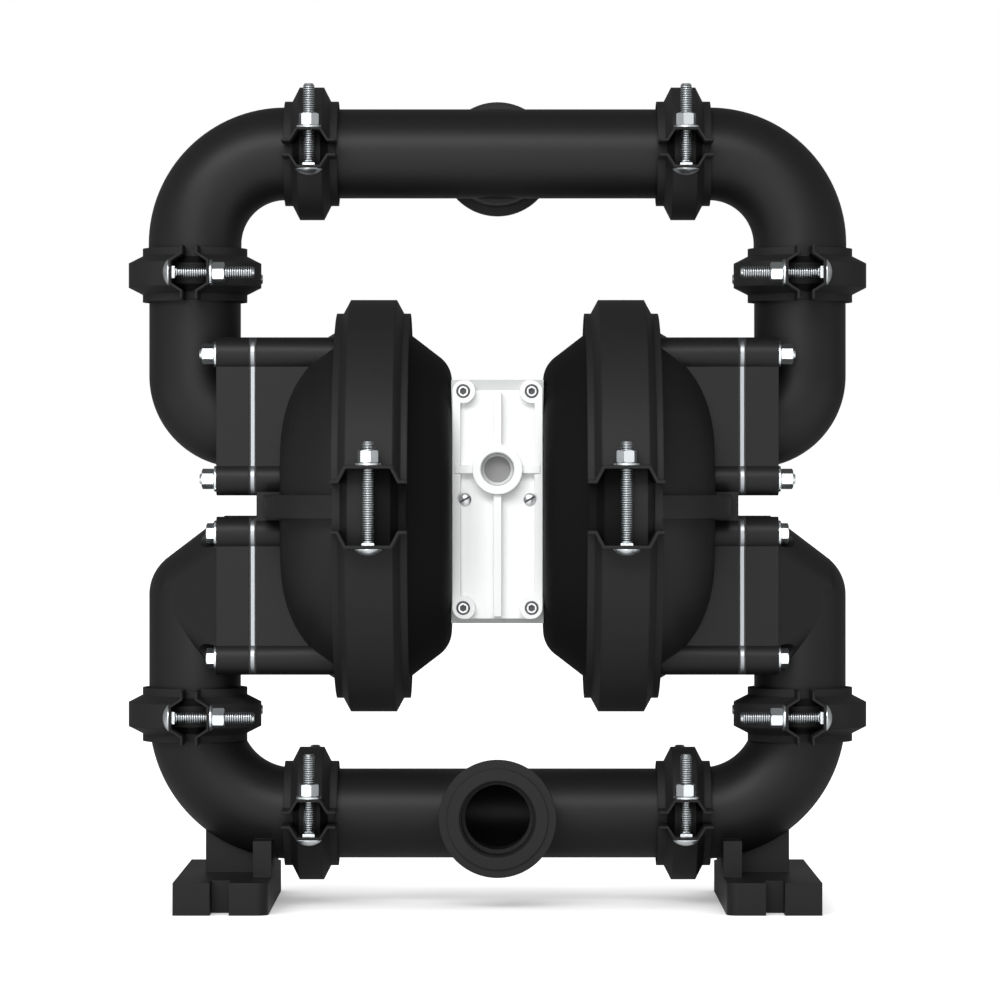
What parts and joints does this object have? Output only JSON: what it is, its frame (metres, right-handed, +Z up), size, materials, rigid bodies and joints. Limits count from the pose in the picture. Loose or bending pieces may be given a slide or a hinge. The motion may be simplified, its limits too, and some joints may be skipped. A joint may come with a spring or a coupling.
{
  "type": "air operated diaphragm pump",
  "caption": "Air operated double diaphragm pump: clamped metal chambers beside a white centre block, flap valves, pipe manifolds above and below, threaded ports, slotted feet.",
  "frame": {"origin": "on the floor, under the middle of the pump", "axes": "+Z up, +X to the right seen from the air inlet's side, +Y to the back"},
  "size_m": [0.6046, 0.376, 0.6683],
  "materials": {
    "black_casting": "satin black powder coat on cast metal",
    "black_band": "satin black coat on pressed sheet",
    "zinc_fastener": "bright zinc plate",
    "seat_plate_steel": "rolled stainless steel",
    "cap_screw_steel": "plain steel",
    "rubber_black": "moulded rubber",
    "gasket_sheet": "flat sheet gasket",
    "white_plastic": "moulded white plastic",
    "grey_plastic": "moulded porous plastic",
    "bushing_bronze": "turned bronze",
    "valve_aluminium": "turned and anodised"
  },
  "bodies": {
    "root": {"centre_block": "white_plastic", "chamber_clamp_bolts": "zinc_fastener", "chamber_clamp_left": "black_band", "chamber_clamp_nuts": "zinc_fastener", "chamber_clamp_right": "black_band", "chamber_clamp_washers": "zinc_fastener", "chamber_screws": "zinc_fastener", "cover_screws": "cap_screw_steel", "diaphragm_left": "rubber_black", "diaphragm_right": "rubber_black", "discharge_elbow_left": "black_casting", "discharge_elbow_right": "black_casting", "discharge_housing_left": "black_casting", "discharge_housing_right": "black_casting", "discharge_leg_clamp_left": "black_band", "discharge_leg_clamp_right": "black_band", "discharge_manifold": "black_casting", "discharge_manifold_clamp_left": "black_band", "discharge_manifold_clamp_right": "black_band", "exhaust_cover": "white_plastic", "flange_bolts": "zinc_fastener", "flange_nuts": "zinc_fastener", "flange_studs": "zinc_fastener", "flange_washers": "zinc_fastener", "flap_retainers": "seat_plate_steel", "inlet_cover": "white_plastic", "inner_chamber_left": "black_casting", "inner_chamber_right": "black_casting", "muffler": "grey_plastic", "outer_chamber_left": "black_casting", "outer_chamber_right": "black_casting", "pipe_clamp_bolts": "zinc_fastener", "pipe_clamp_nuts": "zinc_fastener", "pipe_clamp_washers": "zinc_fastener", "pipe_joint_seals": "rubber_black", "rod_bushings": "bushing_bronze", "rod_seals": "rubber_black", "sleeve_caps": "valve_aluminium", "slotted_screws": "zinc_fastener", "suction_elbow_left": "black_casting", "suction_elbow_right": "black_casting", "suction_housing_left": "black_casting", "suction_housing_right": "black_casting", "suction_leg_clamp_left": "black_band", "suction_leg_clamp_right": "black_band", "suction_manifold": "black_casting", "suction_manifold_clamp_left": "black_band", "suction_manifold_clamp_right": "black_band", "valve_gaskets": "gasket_sheet", "valve_seat_plates": "seat_plate_steel", "valve_sleeve": "valve_aluminium"},
    "rod": {"diaphragm_rod": "seat_plate_steel", "inner_plates": "seat_plate_steel", "outer_plates": "valve_aluminium"},
    "spool": {"main_spool": "valve_aluminium"},
    "pilot": {"pilot_rod": "seat_plate_steel"},
    "discharge_flap_left": {"discharge_flap_left": "rubber_black"},
    "discharge_flap_right": {"discharge_flap_right": "rubber_black"},
    "suction_flap_left": {"suction_flap_left": "rubber_black"},
    "suction_flap_right": {"suction_flap_right": "rubber_black"}
  },
  "joints": [
    {"name": "rod_slide", "type": "slide", "parent": "root", "child": "rod", "axis": [1, 0, 0], "range_m": [-0.022, 0.022], "deforming": ["diaphragm_left", "diaphragm_right"]},
    {"name": "pilot_slide", "type": "slide", "parent": "root", "child": "pilot", "axis": [1, 0, 0], "range_m": [-0.005, 0.005]},
    {"name": "spool_slide", "type": "slide", "parent": "root", "child": "spool", "axis": [0, 0, 1], "range_m": [-0.01, 0.01]},
    {"name": "discharge_flap_left_hinge", "type": "hinge", "parent": "root", "child": "discharge_flap_left", "pos_m": [-0.2018, 0, 0.432], "axis": [0, 1, 0], "range_deg": [0, 30]},
    {"name": "suction_flap_left_hinge", "type": "hinge", "parent": "root", "child": "suction_flap_left", "pos_m": [-0.1932, 0, 0.287], "axis": [0, -1, 0], "range_deg": [0, 30]},
    {"name": "discharge_flap_right_hinge", "type": "hinge", "parent": "root", "child": "discharge_flap_right", "pos_m": [0.2018, 0, 0.432], "axis": [0, -1, 0], "range_deg": [0, 30]},
    {"name": "suction_flap_right_hinge", "type": "hinge", "parent": "root", "child": "suction_flap_right", "pos_m": [0.1932, 0, 0.287], "axis": [0, 1, 0], "range_deg": [0, 30]}
  ],
  "couplings": [
    {"joint": "pilot_slide", "follows": "rod_slide", "ratio": 0.2272}
  ]
}
